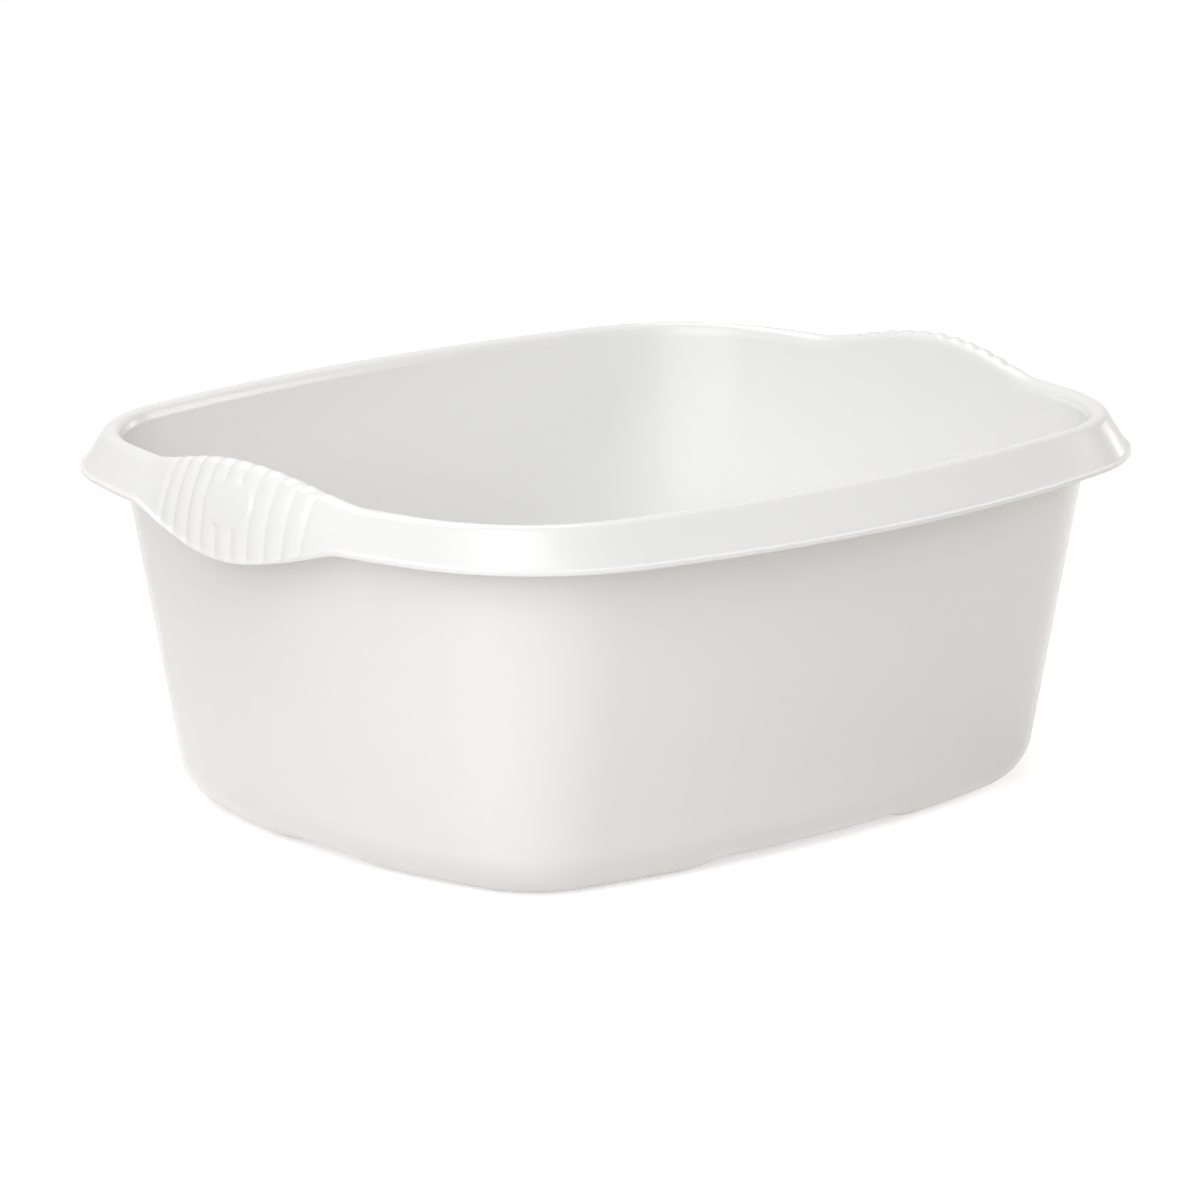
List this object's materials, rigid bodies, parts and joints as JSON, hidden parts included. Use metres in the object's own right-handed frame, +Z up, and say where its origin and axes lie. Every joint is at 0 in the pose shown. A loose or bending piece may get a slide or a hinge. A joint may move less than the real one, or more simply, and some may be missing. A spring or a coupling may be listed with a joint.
{
  "type": "rectangular washing-up bowl",
  "caption": "Rectangular washing-up bowl with bowed, tapering walls, a turned-down rim with a small lip, a ribbed grip at each short end and feet pressed out of the floor's corners.",
  "frame": {"origin": "centre of the bowl's footprint, on the plane that its feet stand on", "axes": "+X along the length towards the right grip, +Y towards the back long side, +Z up out of the bowl's mouth"},
  "size_m": [0.3872, 0.33, 0.1588],
  "materials": {
    "white_plastic": "smooth glossy moulded polypropylene, warm white"
  },
  "bodies": {
    "root": {"tub": "white_plastic", "foot_back_right": "white_plastic", "foot_back_left": "white_plastic", "foot_front_left": "white_plastic", "foot_front_right": "white_plastic", "rim_back": "white_plastic", "rim_front": "white_plastic", "grip_right": "white_plastic", "grip_left": "white_plastic"}
  },
  "joints": []
}
